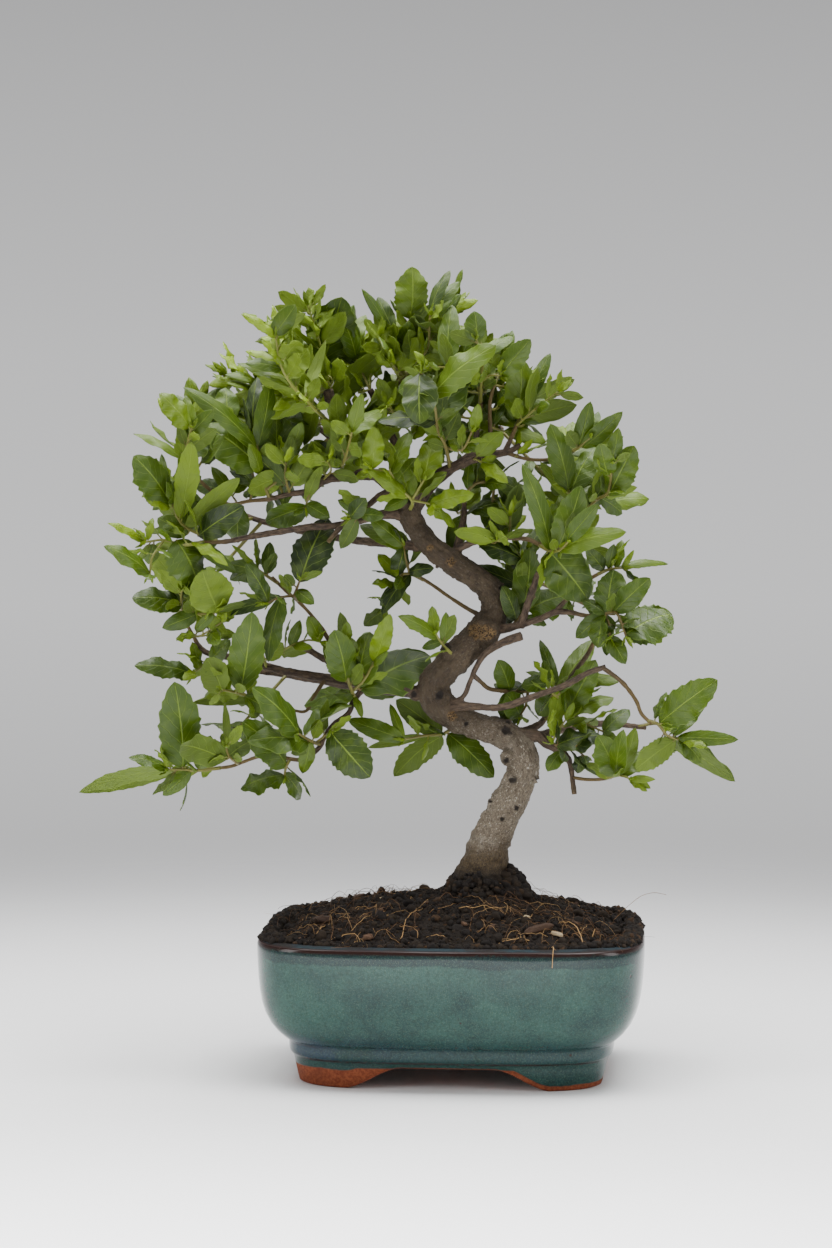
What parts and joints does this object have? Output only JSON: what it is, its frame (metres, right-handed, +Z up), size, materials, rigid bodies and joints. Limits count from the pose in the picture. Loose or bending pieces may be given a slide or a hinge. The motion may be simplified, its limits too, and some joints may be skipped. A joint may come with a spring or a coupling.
{
  "type": "bonsai tree",
  "caption": "Cork oak bonsai: a curved corky trunk with spreading leafy shoots, rooted in mounded soil in a long glazed pot on four corner feet.",
  "frame": {"origin": "On the ground, under the middle of the whole plant's bounding box; the middle of the pot lies 23.5 mm from it towards +X and 2.5 mm towards -Y.", "axes": "+Z up, +X along the pot's length to the viewer's right, +Y away from the viewer."},
  "size_m": [0.333, 0.1695, 0.4026],
  "materials": {
    "pot_glaze": "gloss",
    "soil": "matte",
    "bark": "matte",
    "leaf": "satin"
  },
  "bodies": {
    "root": {"pot": "pot_glaze", "soil": "soil", "trunk": "bark", "crown_tip_left": "leaf", "crown_left_big": "leaf", "crown_top": "leaf", "crown_top_right": "leaf", "crown_right_front": "leaf", "crown_centre": "leaf", "left_upper": "leaf", "left_outer_up": "leaf", "left_outer_mid": "leaf", "left_small": "leaf", "left_mid": "leaf", "left_inner_tip": "leaf", "left_inner": "leaf", "left_sprigs": "leaf", "left_low_a": "leaf", "left_low_tip": "leaf", "left_bottom": "leaf", "left_bottom_in": "leaf", "left_bottom_mid": "leaf", "left_low_fold": "leaf", "centre_left": "leaf", "behind_trunk_low": "leaf", "trunk_mid_left": "leaf", "trunk_small_left": "leaf", "mid_right_a": "leaf", "mid_right_b": "leaf", "right_up": "leaf", "right_up_inner": "leaf", "right_up_outer": "leaf", "centre_leaflets": "leaf", "crown_front": "leaf", "crown_front_left": "leaf", "crown_left_drop": "leaf", "diagonal_leaves": "leaf", "right_mid_outer": "leaf", "right_mid_low": "leaf", "right_inner": "leaf", "right_inner_up": "leaf", "right_inner_low": "leaf", "right_far": "leaf", "right_low": "leaf", "right_low_in": "leaf", "far_crown_tip": "leaf", "far_crown_big": "leaf", "far_crown_top": "leaf", "far_crown_right": "leaf", "far_crown_centre": "leaf", "far_right_up": "leaf", "far_left_upper": "leaf", "far_left_outer": "leaf", "far_left_mid": "leaf", "far_left_low": "leaf", "far_left_bottom": "leaf", "far_centre_left": "leaf", "far_mid_right": "leaf", "far_right_low": "leaf", "far_right_far": "leaf"}
  },
  "joints": []
}
